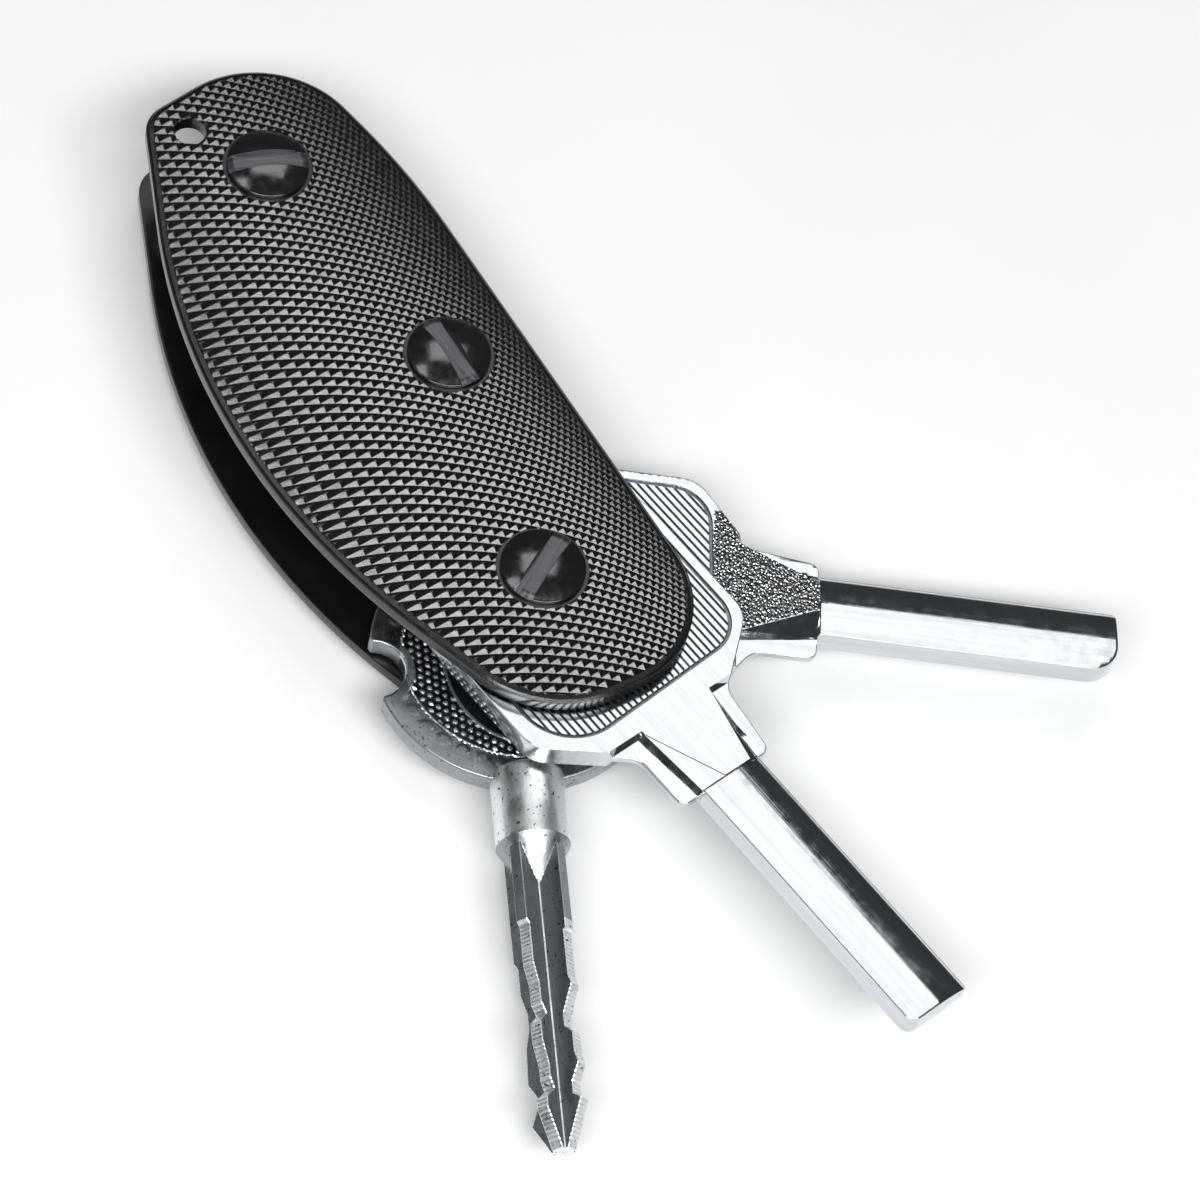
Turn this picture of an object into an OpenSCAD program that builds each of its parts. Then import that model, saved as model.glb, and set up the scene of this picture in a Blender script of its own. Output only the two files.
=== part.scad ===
// Folding key organiser: two knurled plates on three slotted barrel posts,
// with two flat keys and one cross key that turn about the lowest post.
// Origin: axis of the ring hole, midway between the plates.
// +X points to the straight edge, +Y away from the keys, +Z out of the front plate.

/* [Plates] */
// Overall length of the plates
case_length = 81.9; // [74:0.1:100]
// Distance from the pivot to the rounded lower end
pivot_to_end = 15.2; // [14:0.1:18]
// Distance from the pivot to the straight edge
pivot_to_edge = 13.1; // [12:0.1:16]
// Distance from the pivot to the widest point of the bulged edge
pivot_to_bulge = 19.2; // [17:0.1:24]
// Thickness of each plate
plate_t = 1.9; // [1.2:0.1:3]
// Width of the smooth bevelled rim on the outer faces
rim_w = 0.8; // [0.4:0.1:1.5]
// Drop of the outer face at the rim
rim_drop = 0.4; // [0.2:0.1:0.8]
// Diameter of the ring hole
ring_hole_d = 3.3; // [2.5:0.1:4]
// Distance from the ring hole to the far end of the plates
ring_to_end = 5.0; // [4:0.1:8]
// Sideways distance from the pivot to the ring hole
ring_side = 5.0; // [3:0.1:6]

/* [Posts] */
// Outer diameter of the barrels
barrel_d = 4.5; // [4:0.1:5]
// Diameter of the screws' shanks
shank_d = 2.9; // [2:0.1:3.2]
// Diameter of the slotted heads
head_d = 8.5; // [7:0.1:9.5]
// Height of the slotted heads
head_h = 1.6; // [1.2:0.1:2.5]
// Width of the slots
slot_w = 1.9; // [1:0.1:2.4]
// Depth of the slots
slot_depth = 0.8; // [0.4:0.1:1.2]
// Sideways distance from the pivot to the middle post
middle_post_x = 4.8; // [0:0.1:6]
// Distance along the plates from the pivot to the middle post
middle_post_y = 26; // [24:0.1:32]
// Distance from the top post to the far end of the plates
top_post_to_end = 12.3; // [11:0.1:18]
// Outer diameter of the spacers on the middle and top posts
spacer_d = 5.5; // [5.2:0.1:6]

/* [Stack] */
// Space left between neighbours in the stack of keys
layer_gap = 0.3; // [0.25:0.01:0.5]
// Thickness of the thin washers between the keys
washer_t = 0.2; // [0.1:0.01:0.24]
// Outer diameter of the thin washers
washer_d = 8; // [6:0.1:11]

/* [Flat keys] */
// Thickness of the flat keys
flat_key_t = 2.7; // [2:0.1:3.5]
// Width of the bow
bow_w = 27.4; // [22:0.1:29]
// Distance from the pivot to the back of the bow
bow_back = 8; // [6:0.1:9]
// Distance from the pivot to the end of the flanged neck
neck_end = 27.4; // [26:0.1:32]
// Width across the flanges of the neck
flange_w = 12.2; // [10:0.1:14]
// Distance from the pivot to the tip
flat_key_reach = 57.9; // [48:0.1:60]
// Width of the shaft
shaft_w = 7.4; // [6:0.1:9]
// Drop of the flanges below the tongue
flange_drop = 0.95; // [0.3:0.05:1.2]
// Depth of the panel sunk into each side of the bow
panel_depth = 0.3; // [0.1:0.05:0.6]

/* [Cross key] */
// Thickness of the round bow
cross_bow_t = 2.3; // [1.8:0.1:3]
// Radius of the round bow
cross_bow_r = 14.5; // [12:0.1:15]
// Distance from the pivot to the centre of the round bow
cross_bow_x = 5; // [2:0.1:6]
// Diameter of the notch in the edge of the round bow
notch_d = 6.2; // [3:0.1:7]
// Diameter of the collar
collar_d = 7.3; // [6.5:0.1:7.5]
// Distance from the pivot to the near end of the collar
collar_start = 18; // [17.6:0.1:19]
// Distance from the pivot to the far end of the collar
collar_end = 26; // [24:0.1:28]
// Distance from the blade's axis to the tip of each fin
fin_r = 3.2; // [2.6:0.1:3.4]
// Thickness of the fins
fin_t = 1.25; // [0.8:0.05:1.5]
// Distance from the pivot to the tip of the blade
cross_key_reach = 58; // [56:0.1:60]

/* [Hidden] */
$fn = 64;

// Greatest distance between a round outline and its straight steps
chord_error = 0.015;
// Overlap that keeps cuts and joined shapes from meeting in a bare surface
bite = 0.01;
// Gap around a barrel where it passes through a plate, a washer or a spacer
pass_gap = 0.1;
// Running clearance around a barrel in a key
run_gap = 0.05;
// Gap around a shank in its barrel
shank_gap = 0.05;
// Depth to which the heads are let into the outer faces
spot_depth = 0.2;
// Gap around a head in its spot face
spot_gap = 0.35;
// Height of the straight edge of a head
head_edge = 0.45;
// Distance that a barrel stops short of the front plate's outer face
barrel_short = 0.6;
// Depth of the threaded bore and length of the shank, from the front outer face
bore_depth = 9;
shank_l = 8;
// Space between neighbouring spacers
spacer_gap = 0.05;
// Angles of the slots at the pivot, middle and top posts, on the front and the rear
front_slots = [30, 90, -20];
rear_slots = [-35, 12, 64];

// Stack of keys, from the front plate to the rear plate
inner_gap = 2 * flat_key_t + cross_bow_t + 4 * layer_gap;
outer_z = inner_gap / 2 + plate_t;
front_key_top = inner_gap / 2 - layer_gap;
middle_key_top = front_key_top - flat_key_t - layer_gap;
cross_key_top = middle_key_top - flat_key_t - layer_gap;
gap_middles = [
    front_key_top + layer_gap / 2,
    middle_key_top + layer_gap / 2,
    cross_key_top + layer_gap / 2,
    cross_key_top - cross_bow_t - layer_gap / 2
];

// Places of the posts and the ring hole, from the pivot
case_top = case_length - pivot_to_end;
ring_hole = [-ring_side, case_top - ring_to_end];
posts = [[0, 0], [middle_post_x, middle_post_y], [0, case_top - top_post_to_end]];

// Corners of the plates, from the pivot, each with its radius
shoulder_h = 18.7;
corner_rise = 1.9;
case_corners = [
    [pivot_to_edge, -pivot_to_end, 11],
    [pivot_to_edge, case_top - shoulder_h, 80],
    [pivot_to_edge - 3.95, case_top + corner_rise, 11],
    [-8.3, case_top - 1.2, 4],
    [-(pivot_to_bulge + 5.4), 26.6, 71],
    [-8.9, -pivot_to_end, 12]
];

// Rest angles of the keys about the pivot, and how far their blades lie to the side of it
front_key_angle = -82.2;
front_key_shift = [0, 1.7];
front_key_tip_r = 1.2;
middle_key_angle = -34.7;
middle_key_shift = [1.1, 3.4];
middle_key_tip_r = 3;
cross_key_angle = -116.4;
cross_key_shift = [0, -1.9];

// Flat key: the bow's centre lies a little to one side of the shaft
bow_shift = -0.75;
bow_right = bow_shift - bow_w / 2;
bow_left = bow_shift + bow_w / 2;
bow_front = 14.5;
flange_taper = 1.0;
// Run of the sloping shoulders for each millimetre that they come in
shoulder_run = 0.78;
flat_key_corners = [
    [neck_end, -flange_w / 2, 1],
    [neck_end, flange_w / 2 - flange_taper, 1],
    [bow_front + (bow_left - flange_w / 2) * shoulder_run, flange_w / 2, 2.5],
    [bow_front, bow_left, 3.5],
    [-bow_back, bow_left, 8.4],
    [-bow_back, bow_right, 8.4],
    [bow_front, bow_right, 3.5],
    [bow_front + (-flange_w / 2 - bow_right) * shoulder_run, -flange_w / 2, 2.5]
];
// How far the sunk panel stays in from the bow's back, left and right edges
panel_back_in = 1.4;
panel_left_in = 1;
panel_right_in = 1.5;
panel_corners = [
    [bow_front + 2.8, bow_right + panel_right_in, 6],
    [bow_front + 1.6, bow_left - panel_left_in, 4.5],
    [-bow_back + panel_back_in, bow_left - panel_left_in, 7],
    [-bow_back + panel_back_in, bow_right + panel_right_in, 7]
];
// The tongue narrows from the bow to the start of the shaft, and the flanges drop beside it
tongue_start = bow_front + 3;
flange_start = bow_front + 4.5;
tongue = [
    [tongue_start, -shaft_w / 2 - 0.8],
    [neck_end, -0.7],
    [neck_end, 1.6],
    [tongue_start, shaft_w / 2 + 0.7]
];
// Lean of the shaft's flat side, to each side of its middle
shaft_lean = 0.2;

// Cross key: cuts in each fin, as [distance before the tip, depth of the cut]
cuts = [
    [[23, 0], [22.6, 0.35], [18.5, 0.35], [16.5, 1.0], [14.6, 1.0], [13.6, 1.7], [12.4, 0.6],
     [10.6, 0.6], [8.2, 1.3], [6.9, 1.3], [5.8, 1.8], [4.6, 0.5], [3.6, 0.4], [0, 2.2]],
    [[20.4, 0], [19.6, 0.4], [16.8, 0.4], [14.6, 1.0], [13, 1.0], [11.2, 0.5], [7.5, 0.3],
     [6, 1.2], [5, 1.2], [3.2, 0.3], [0, 2.2]],
    [[21.2, 0], [20.6, 0.5], [17.5, 0.5], [15.2, 0.1], [13.8, 1.1], [11.6, 1.1], [10, 0.3],
     [8.4, 0.6], [6.6, 1.3], [5.4, 0.3], [0, 2.2]],
    [[22, 0], [21.8, 0.25], [17, 0.25], [16.1, 0], [13.4, 1.2], [12, 1.2], [11.2, 0.4],
     [9.2, 0.4], [8, 0.1], [6.3, 1.0], [5, 1.0], [4.4, 0.2], [0, 2.2]]
];
bow_rim = 1.3;
bow_dish = 0.3;
notch_x = 1.6;
notch_inset = 0.3;

function xy(p) = [p[0], p[1]];
function at(list, i) = list[(i + len(list)) % len(list)];
function heading(c, i) =
    let (d = xy(at(c, i + 1)) - xy(at(c, i)))
    d / norm(d);
function side_l(c, i) = norm(xy(at(c, i + 1)) - xy(at(c, i)));
function turn(c, i) = acos(max(-1, min(1, heading(c, i - 1) * heading(c, i))));
function reach(c, i) = at(c, i)[2] * tan(turn(c, i) / 2);

// Where two neighbouring rounds would overlap along a side, both give way in proportion
function held_reach(c, i) =
    reach(c, i) * min(1,
        side_l(c, i) / (reach(c, i) + reach(c, i + 1)),
        side_l(c, i - 1) / (reach(c, i - 1) + reach(c, i)));

// Points of the round at one corner, tangent to both of its sides, moved in by an inset
function corner_round(c, i, inset) =
    let (
        u = heading(c, i - 1),
        bend = sign(cross(u, heading(c, i))),
        sweep = bend * turn(c, i),
        r = held_reach(c, i) / tan(turn(c, i) / 2),
        start = xy(at(c, i)) - u * held_reach(c, i),
        centre = start + [-u[1], u[0]] * bend * r,
        from = atan2(start[1] - centre[1], start[0] - centre[0]),
        steps = ceil(abs(sweep) / (2 * acos(1 - chord_error / r)))
    )
    [for (k = [0 : steps]) centre + (r - bend * inset) * [cos(from + sweep * k / steps),
                                                          sin(from + sweep * k / steps)]];

// Closed outline through rounded corners, each given as [x, y, radius]
function rounded(c, inset = 0) = [for (i = [0 : len(c) - 1]) each corner_round(c, i, inset)];

module at_pivot() translate([-ring_hole[0], -ring_hole[1], 0]) children();

module at_post(i) at_pivot() translate([posts[i][0], posts[i][1], 0]) children();

// Plate with its outer face up, its inner face at z = 0 and its bevelled rim
module plate() {
    difference() {
        union() {
            linear_extrude(plate_t - rim_drop) polygon(rounded(case_corners));
            translate([0, 0, plate_t - rim_drop - bite])
                linear_extrude(rim_drop + bite) polygon(rounded(case_corners, rim_w));
        }
        for (p = posts) {
            translate([p[0], p[1], -1]) cylinder(d = barrel_d + 2 * pass_gap, h = plate_t + 2);
            translate([p[0], p[1], plate_t - spot_depth])
                cylinder(d = head_d + 2 * spot_gap, h = spot_depth + 1);
        }
        translate([ring_hole[0], ring_hole[1], -1]) cylinder(d = ring_hole_d, h = plate_t + 2);
    }
}

module front_plate()
    color("#1b1c1e")
    at_pivot()
    translate([0, 0, inner_gap / 2])
    plate();

// The rear plate is the front plate's mirror image
module rear_plate()
    color("#1b1c1e")
    at_pivot()
    mirror([0, 0, 1])
    translate([0, 0, inner_gap / 2])
    plate();

// Low domed head standing on z = 0, with a slot across its full width
module slotted_head(slot_angle) {
    dome_h = head_h - head_edge;
    dome_r = (pow(head_d / 2, 2) + pow(dome_h, 2)) / (2 * dome_h);
    difference() {
        intersection() {
            cylinder(d = head_d, h = head_h);
            translate([0, 0, head_h - dome_r]) sphere(r = dome_r);
        }
        rotate([0, 0, slot_angle])
            translate([-head_d, -slot_w / 2, head_h - slot_depth])
            cube([2 * head_d, slot_w, head_h]);
    }
}

// Tube with a head on the rear plate, bored from its front end
module barrel(i) {
    top = outer_z - barrel_short;
    bottom = outer_z - spot_depth;
    color("#101113")
    at_post(i)
    difference() {
        union() {
            translate([0, 0, -bottom - bite]) cylinder(d = barrel_d, h = bottom + top + bite);
            translate([0, 0, -bottom]) mirror([0, 0, 1]) slotted_head(rear_slots[i]);
        }
        translate([0, 0, outer_z - bore_depth])
            cylinder(d = shank_d + 2 * shank_gap, h = bore_depth + 1);
    }
}

// Screw with its head on the front plate and its shank in the barrel
module screw(i) {
    seat = outer_z - spot_depth;
    color("#101113")
    at_post(i)
    union() {
        translate([0, 0, seat]) slotted_head(front_slots[i]);
        translate([0, 0, outer_z - shank_l]) cylinder(d = shank_d, h = seat + bite - outer_z + shank_l);
    }
}

module ring(outer_d, h) {
    difference() {
        cylinder(d = outer_d, h = h, center = true);
        cylinder(d = barrel_d + 2 * pass_gap, h = h + 2, center = true);
    }
}

module pivot_washer(i)
    color("#8f9296")
    at_post(0)
    translate([0, 0, gap_middles[i - 1]])
    ring(washer_d, washer_t);

// Three equal spacers fill the space between the plates at the other posts
module spacer(post, i) {
    share = inner_gap / 3;
    color("#2a2b2d")
    at_post(post)
    translate([0, 0, inner_gap / 2 - share * (i - 0.5)])
    ring(spacer_d, share - spacer_gap);
}

// Cross-section of the shaft, standing on z = 0: flat on one side, half an ellipse on the other
function shaft_section() = [
    [-shaft_w / 2 - shaft_lean, 0],
    for (a = [-90 : 10 : 90]) [shaft_w / 2 * cos(a), flat_key_t / 2 * (1 + sin(a))],
    [-shaft_w / 2 + shaft_lean, flat_key_t]
];

// Shaft whose tip is rounded at one corner and square at the other
module shaft(tip_r) {
    start = flange_start + 0.5;
    intersection() {
        translate([start, 0, 0])
            rotate([90, 0, 90])
            linear_extrude(flat_key_reach - start)
            polygon(shaft_section());
        linear_extrude(flat_key_t) polygon(rounded([
            [0, -shaft_w / 2 - shaft_lean, 0.5],
            [flat_key_reach, -shaft_w / 2 - shaft_lean, tip_r],
            [flat_key_reach, shaft_w, 0.5],
            [0, shaft_w, 0.5]
        ]));
    }
}

// Flat key along +X with its underside at z = 0 and the middle of its shaft on the X axis
module flat_key_blank(tip_r) {
    difference() {
        linear_extrude(flat_key_t) polygon(rounded(flat_key_corners));
        for (z = [-1, flat_key_t - panel_depth])
            translate([0, 0, z])
            linear_extrude(panel_depth + 1) polygon(rounded(panel_corners));
        difference() {
            translate([flange_start, -bow_w, flat_key_t - flange_drop])
                cube([neck_end, 2 * bow_w, flat_key_t]);
            linear_extrude(flat_key_t + 1) polygon(tongue);
        }
    }
    shaft(tip_r);
}

module flat_key(top, angle, shift, tip_r)
    color("#c9ccd0")
    at_pivot()
    translate([0, 0, top - flat_key_t])
    rotate([0, 0, angle])
    difference() {
        translate([shift[0], shift[1], 0]) flat_key_blank(tip_r);
        translate([0, 0, -1]) cylinder(d = barrel_d + 2 * run_gap, h = flat_key_t + 2);
    }

// One fin of the cross blade, in the XZ plane above the blade's axis
module fin(cut) {
    outline = [
        [collar_start + 1, -fin_t / 2],
        [cross_key_reach, -fin_t / 2],
        for (k = [len(cut) - 1 : -1 : 0]) [cross_key_reach - cut[k][0], fin_r - cut[k][1]],
        [collar_start + 1, fin_r]
    ];
    translate([0, fin_t / 2, 0])
        rotate([90, 0, 0])
        linear_extrude(fin_t) polygon(outline);
}

// Cross key along +X with its blade's axis on the X axis
module cross_key_blank() {
    difference() {
        translate([cross_bow_x, 0, 0]) difference() {
            cylinder(r = cross_bow_r, h = cross_bow_t, center = true, $fn = 128);
            for (s = [-1, 1])
                translate([0, 0, s * (cross_bow_t / 2 - bow_dish / 2 + 0.5)])
                cylinder(r = cross_bow_r - bow_rim, h = bow_dish + 1, center = true, $fn = 128);
            translate([notch_x, notch_inset - cross_bow_r, 0])
                cylinder(d = notch_d, h = cross_bow_t + 2, center = true);
        }
        translate([collar_start, -collar_d / 2, -cross_bow_t])
            cube([cross_bow_r, collar_d, 2 * cross_bow_t]);
    }
    translate([collar_start, 0, 0])
        rotate([0, 90, 0])
        cylinder(d = collar_d, h = collar_end - collar_start);
    for (k = [0 : 3])
        rotate([45 + 90 * k, 0, 0])
        fin(cuts[k]);
}

module cross_key()
    color("#a9adb1")
    at_pivot()
    translate([0, 0, cross_key_top - cross_bow_t / 2])
    rotate([0, 0, cross_key_angle])
    difference() {
        translate([cross_key_shift[0], cross_key_shift[1], 0]) cross_key_blank();
        cylinder(d = barrel_d + 2 * run_gap, h = 2 * cross_bow_t, center = true);
    }

front_plate();
rear_plate();
barrel(0);  // pivot_barrel
barrel(1);  // middle_barrel
barrel(2);  // top_barrel
screw(0);  // pivot_screw
screw(1);  // middle_screw
screw(2);  // top_screw
for (i = [1 : 4])
    pivot_washer(i);
for (i = [1 : 3])
    spacer(1, i);
for (i = [1 : 3])
    spacer(2, i);
flat_key(front_key_top, front_key_angle, front_key_shift, front_key_tip_r);  // front_key
flat_key(middle_key_top, middle_key_angle, middle_key_shift, middle_key_tip_r);  // middle_key
cross_key();
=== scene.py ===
import math

import bpy
import numpy as np
from mathutils import Matrix, Vector


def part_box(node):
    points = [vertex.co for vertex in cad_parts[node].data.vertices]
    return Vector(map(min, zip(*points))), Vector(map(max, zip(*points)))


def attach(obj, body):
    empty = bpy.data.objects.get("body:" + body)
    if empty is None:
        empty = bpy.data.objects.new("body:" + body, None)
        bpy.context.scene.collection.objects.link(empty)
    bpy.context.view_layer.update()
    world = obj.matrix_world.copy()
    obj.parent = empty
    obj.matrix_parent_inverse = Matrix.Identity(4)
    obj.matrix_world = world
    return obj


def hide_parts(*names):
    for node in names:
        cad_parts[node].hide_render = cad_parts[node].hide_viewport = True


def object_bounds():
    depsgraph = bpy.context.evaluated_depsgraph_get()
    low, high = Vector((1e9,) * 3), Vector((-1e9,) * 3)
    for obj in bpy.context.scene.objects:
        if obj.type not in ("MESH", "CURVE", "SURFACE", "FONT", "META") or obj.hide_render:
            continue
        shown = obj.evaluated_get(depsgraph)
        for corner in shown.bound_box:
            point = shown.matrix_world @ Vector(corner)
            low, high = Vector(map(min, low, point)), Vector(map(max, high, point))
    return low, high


bl_info = {
    "name": "Folding key organiser",
    "version": (1, 0, 0),
    "blender": (4, 5, 0),
    "location": "View3D > Sidebar > Key Organiser",
    "description": "Knurled plates, slotted posts and three keys built around the packed frame",
    "category": "Object",
}

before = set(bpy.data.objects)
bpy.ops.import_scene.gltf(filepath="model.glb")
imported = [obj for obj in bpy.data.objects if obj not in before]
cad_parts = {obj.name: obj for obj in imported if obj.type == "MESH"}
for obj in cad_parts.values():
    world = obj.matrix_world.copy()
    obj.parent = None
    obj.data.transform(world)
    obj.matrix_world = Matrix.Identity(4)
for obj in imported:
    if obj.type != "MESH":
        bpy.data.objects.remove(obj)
CAD_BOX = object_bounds()
# Lengths in this script are in millimetres, and MM turns them into metres
MM = 0.001


def middle_of(node):
    """Centre of a CAD node's box, in millimetres."""
    low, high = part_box(node)
    return (np.array(low) + np.array(high)) / 2 / MM


def span_of(node, axis):
    """Lowest and highest coordinate of a CAD node along one axis, in millimetres."""
    low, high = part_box(node)
    return low[axis] / MM, high[axis] / MM


PIVOT = middle_of("pivot_screw")[:2]
POSTS = [middle_of(n)[:2] - PIVOT for n in ("pivot_screw", "middle_screw", "top_screw")]
RING_HOLE = -PIVOT
PLATE_IN, PLATE_OUT = span_of("front_plate", 2)
HEAD_R = (span_of("pivot_screw", 0)[1] - span_of("pivot_screw", 0)[0]) / 2
HEAD_TOP = span_of("pivot_screw", 2)[1]
# Heights of the spot faces and of the ring hole's rim above a plate's face
SPOT_Z, RING_Z = -0.2, -0.12
SEAT = PLATE_OUT + SPOT_Z
BARREL_R, BORE_R, SHANK_R, SHANK_LONG = 2.25, 1.5, 1.45, 8
RING_HOLE_R = 1.65
RING_RIM_R = RING_HOLE_R + 0.35
SPOT_R = HEAD_R + 0.35

# Corners of the plates from the pivot, each with the radius of its round
PLATE_CORNERS = [
    (13.1, -15.2, 11), (13.1, 48.0, 80), (9.15, 68.6, 11),
    (-8.3, 65.5, 4), (-24.6, 26.6, 71), (-8.9, -15.2, 12),
]
# Smooth rim of a plate: insets of its creases, and its height above the face at distances
# from the outline, which are negative inside
RIM_CREASES = (0.8, 0.72, 0.3)
RIM_AT, RIM_Z = [-0.72, -0.3, -0.1], [-0.26, -0.34, -0.5]
# Knurl: a groove's half width in steps, the grooves that cross the plate, the box round the
# plate, and the lowest H that a point is clipped to or kept with
SHOULDER = 0.4
U_SPAN, V_SPAN = (-51, 42), (1, 95)
SHEET_LOW, SHEET_HIGH = (-21, -16.5), (14.5, 68)
H_CLIP, H_KEPT = 14.0, 15.5
# Flat key outline from the middle of its shaft, with x along the shaft
KEY_CORNERS = [
    (27.4, -6.1, 1), (27.4, 5.1, 1), (19.84, 6.1, 2.5), (14.5, 12.95, 3.5),
    (-8, 12.95, 8.4), (-8, -14.45, 8.4), (14.5, -14.45, 3.5), (21.0, -6.1, 2.5),
]
PANEL_CORNERS = [(17.3, -12.95, 6), (16.1, 11.95, 4.5), (-6.6, 11.95, 7), (-6.6, -12.95, 7)]
KEY_T = 2.7
SHAFT_HALF = 3.7
SHAFT_REACH = 57.9
FLANGE_START, NECK_END = 19.0, 27.4
FLANGE_DROP = 0.95
# Corners of the tongue on each flat key; the last one differs between the keys
TONGUE_CORNERS = [(17.5, -4.6), (19.5, -4.4), (27.5, -0.76), (27.5, 2.3)]
# Milled facet below the tongue, as values of y at its two ends
FACET_X, FACET_TOP, FACET_LOW = [19.5, 27.4], [-4.4, -0.76], [-4.45, -3.72]
FACET_RUN, FACET_WALL = 19.6, 0.12
# Edge of the blasted finish, just above the milled facet
BLAST_X, BLAST_Y = [17, 19.5, 27.4], [-3.0, -4.3, -0.7]
PANEL_DROP, PANEL_STEP, RIB_START, RIB_END = 0.28, 0.07, 0.30, 0.42
FACET_DROP, RIB_DROP, GROOVE_DROP = 0.06, 0.03, 0.27
TONGUE_START, TONGUE_STEP, FLANGE_RUN = 17.9, 0.06, 0.3
STEP_Y = [4.1, 4.25]
SCRIBE_X, SCRIBE_HALF, SCRIBE_DEPTH = 0.05, 0.1, 0.05
# Grid lines across the shaft, closer together towards its round side
SHAFT_LINES = (-0.1, 1.2, 1.7, 2.2, 2.6, 2.9, 3.15, 3.35, 3.5, 3.6, 3.66, 3.72)


# ---------------------------------------------------------------- outlines

def rounded(corners, fine=0.003):
    """Closed outline: at each corner an arc of its radius tangent to both sides, cut into
    steps that stay within `fine` of the arc. Neighbouring rounds that would overlap along a
    side both give way in proportion."""
    c = np.array([p[:2] for p in corners], float)
    rad = np.array([p[2] for p in corners], float)
    side = np.roll(c, -1, 0) - c
    length = np.hypot(*side.T)
    u = side / length[:, None]
    before = np.roll(u, 1, 0)
    cross = before[:, 0] * u[:, 1] - before[:, 1] * u[:, 0]
    turn = np.arccos(np.clip((before * u).sum(1), -1, 1))
    reach = rad * np.tan(turn / 2)
    share = np.minimum(1, length / (reach + np.roll(reach, -1)))
    reach = reach * np.minimum(share, np.roll(share, 1))
    parts = []
    for i in range(len(c)):
        bend = math.copysign(1, cross[i])
        r = reach[i] / math.tan(turn[i] / 2)
        start = c[i] - before[i] * reach[i]
        centre = start + np.array([-before[i][1], before[i][0]]) * bend * r
        first = math.atan2(*(start - centre)[::-1])
        steps = max(2, math.ceil(turn[i] / (2 * math.acos(1 - min(fine / r, 0.5)))))
        a = first + bend * turn[i] * np.linspace(0, 1, steps + 1)
        parts.append(centre + r * np.stack([np.cos(a), np.sin(a)], 1))
    return np.concatenate(parts)


def distance_to(outline):
    """Function of x and y: distance to a closed outline, negative inside. It is the least
    distance to the outline's segments, with its sign from counting crossings to the right."""
    a = outline
    b = np.roll(outline, -1, 0)
    ab = b - a
    length2 = np.maximum((ab ** 2).sum(1), 1e-12)

    def measure(x, y):
        out = np.empty(len(x))
        for s in range(0, len(x), 20000):
            px, py = x[s:s + 20000, None], y[s:s + 20000, None]
            t = np.clip(((px - a[:, 0]) * ab[:, 0] + (py - a[:, 1]) * ab[:, 1]) / length2, 0, 1)
            d2 = (px - a[:, 0] - t * ab[:, 0]) ** 2 + (py - a[:, 1] - t * ab[:, 1]) ** 2
            across = (a[:, 1] > py) != (b[:, 1] > py)
            rise = np.where(np.abs(ab[:, 1]) < 1e-12, 1e-12, ab[:, 1])
            hit = across & (px < a[:, 0] + (py - a[:, 1]) / rise * ab[:, 0])
            inside = hit.sum(1) % 2 == 1
            out[s:s + 20000] = np.sqrt(d2.min(1)) * np.where(inside, -1, 1)
        return out

    return measure


def circle(cx, cy, r):
    """Function of x and y: distance to a circle, negative inside."""
    return lambda x, y: np.hypot(x - cx, y - cy) - r


def inside_all(*fields):
    """Greatest of several distances: the region inside all of them."""
    return lambda x, y: np.max([f(x, y) for f in fields], axis=0)


def outside(field):
    """The same line seen from its other side."""
    return lambda x, y: -field(x, y)


# ---------------------------------------------------------------- sheets

def grid_sheet(x, y, flip=None):
    """Triangles over the grid of points x, y, which are (rows, columns) arrays. Cells whose
    flip is true are cut along their other diagonal."""
    rows, cols = x.shape
    index = np.arange(rows * cols).reshape(rows, cols)
    a, b = index[:-1, :-1].ravel(), index[:-1, 1:].ravel()
    d, c = index[1:, :-1].ravel(), index[1:, 1:].ravel()
    one = np.concatenate([np.stack([a, b, c], 1), np.stack([a, c, d], 1)])
    if flip is not None:
        other = np.concatenate([np.stack([a, b, d], 1), np.stack([b, c, d], 1)])
        one = np.where(np.tile(flip.ravel(), 2)[:, None], other, one)
    points = np.stack([x.ravel(), y.ravel()], 1)
    ab = points[one[0, 1]] - points[one[0, 0]]
    ac = points[one[0, 2]] - points[one[0, 0]]
    if ab[0] * ac[1] - ab[1] * ac[0] < 0:
        one = one[:, ::-1]
    return points, one


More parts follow.
